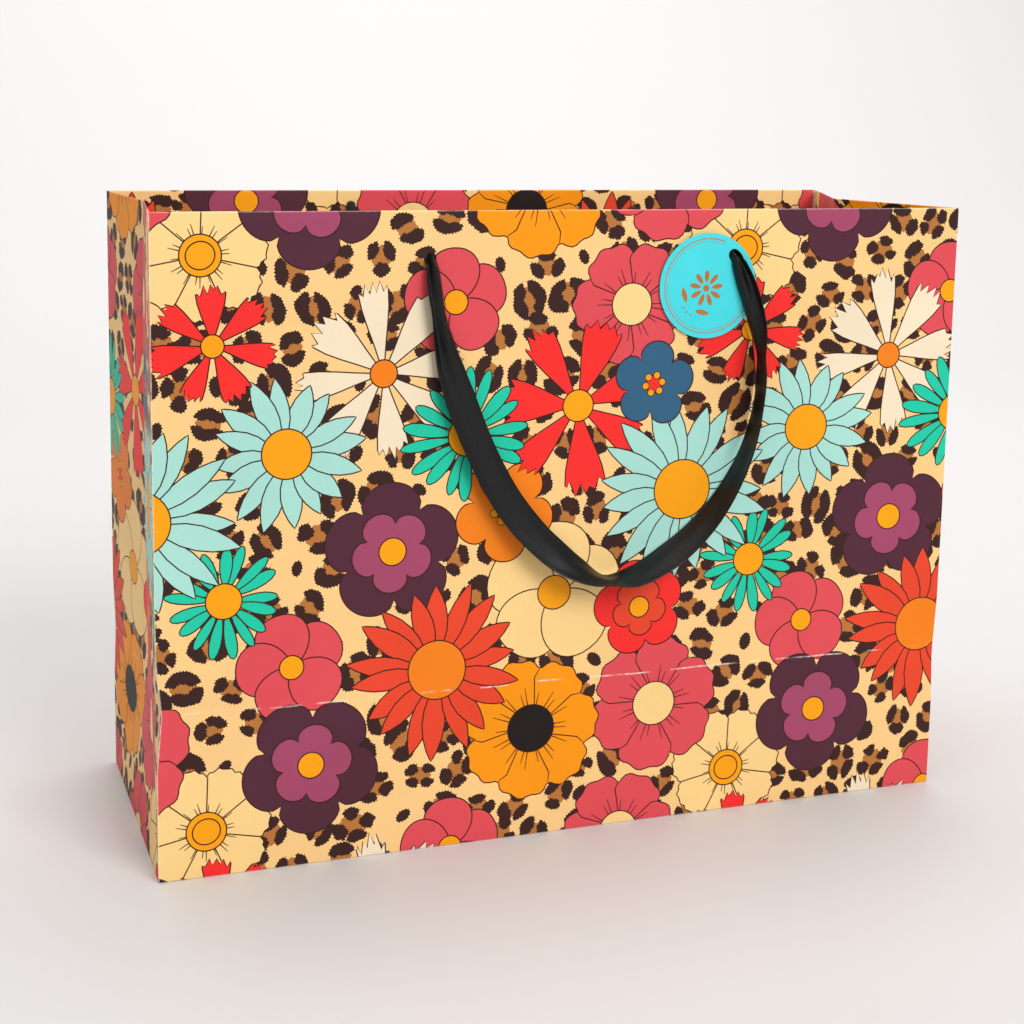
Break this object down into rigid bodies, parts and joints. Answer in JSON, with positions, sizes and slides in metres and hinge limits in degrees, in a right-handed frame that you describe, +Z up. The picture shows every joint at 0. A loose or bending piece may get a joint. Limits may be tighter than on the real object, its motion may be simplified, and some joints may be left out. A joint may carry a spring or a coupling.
{
  "type": "gift bag",
  "caption": "Open paper gift bag with tucked side gussets, ribbon loop handles held by toggle bars, a loose base board and a round hang tag.",
  "frame": {"origin": "middle of the base, on the surface that the bag stands on", "axes": "+X along the bag's width to the tag's side, -Y out of the front panel, +Z up through the open mouth"},
  "size_m": [0.406, 0.1538, 0.305],
  "materials": {
    "printed_paper": "satin laminated, floral print over leopard spots",
    "stiffener_card": "uncoated grey board",
    "base_card": "white lined board",
    "satin_ribbon": "black satin weave",
    "barb_plastic": "moulded, glossy",
    "tag_card": "coated card with metal foil lines"
  },
  "bodies": {
    "bag": {"front_panel": "printed_paper", "back_panel": "printed_paper", "front_hem": "printed_paper", "back_hem": "printed_paper", "front_bottom_flap": "printed_paper", "back_bottom_flap": "printed_paper", "left_bottom_flap": "printed_paper", "right_bottom_flap": "printed_paper", "front_glue_tab": "printed_paper", "back_glue_tab": "printed_paper", "left_gusset_front": "printed_paper", "left_gusset_front_hem": "printed_paper", "left_gusset_back": "printed_paper", "left_gusset_back_hem": "printed_paper", "right_gusset_front": "printed_paper", "right_gusset_front_hem": "printed_paper", "right_gusset_back": "printed_paper", "right_gusset_back_hem": "printed_paper", "left_gusset_base": "printed_paper", "right_gusset_base": "printed_paper", "front_stiffener": "stiffener_card", "back_stiffener": "stiffener_card", "front_ribbon_ends": "satin_ribbon", "back_ribbon_ends": "satin_ribbon"},
    "front_handle": {"front_ribbon": "satin_ribbon"},
    "back_handle": {"back_ribbon": "satin_ribbon"},
    "tag": {"hang_tag": "tag_card"},
    "board": {"base_board": "base_card"},
    "front_left_toggle": {"front_left_barb": "barb_plastic"},
    "front_right_toggle": {"front_right_barb": "barb_plastic"},
    "back_left_toggle": {"back_left_barb": "barb_plastic"},
    "back_right_toggle": {"back_right_barb": "barb_plastic"}
  },
  "joints": [
    {"name": "front_handle_swing", "type": "hinge", "parent": "bag", "child": "front_handle", "pos_m": [0, -0.07483, 0.283], "axis": [-1, 0, 0], "range_deg": [0, 165]},
    {"name": "back_handle_swing", "type": "hinge", "parent": "bag", "child": "back_handle", "pos_m": [0, 0.07483, 0.283], "axis": [1, 0, 0], "range_deg": [0, 165]},
    {"name": "tag_swing", "type": "hinge", "parent": "bag", "child": "tag", "pos_m": [0.0765, -0.07373, 0.283], "axis": [0, 1, 0], "range_deg": [-152, 68]},
    {"name": "base_board_lift", "type": "slide", "parent": "bag", "child": "board", "axis": [0, 0, 1], "range_m": [0, 0.006]},
    {"name": "front_left_barb_turn", "type": "hinge", "parent": "bag", "child": "front_left_toggle", "pos_m": [-0.0765, -0.07106, 0.283], "axis": [0, 1, 0], "range_deg": [-81, 99]},
    {"name": "front_right_barb_turn", "type": "hinge", "parent": "bag", "child": "front_right_toggle", "pos_m": [0.0765, -0.07106, 0.283], "axis": [0, 1, 0], "range_deg": [-104, 76]},
    {"name": "back_left_barb_turn", "type": "hinge", "parent": "bag", "child": "back_left_toggle", "pos_m": [-0.0765, 0.07106, 0.283], "axis": [0, 1, 0], "range_deg": [-90, 90]},
    {"name": "back_right_barb_turn", "type": "hinge", "parent": "bag", "child": "back_right_toggle", "pos_m": [0.0765, 0.07106, 0.283], "axis": [0, 1, 0], "range_deg": [-131, 49]}
  ]
}
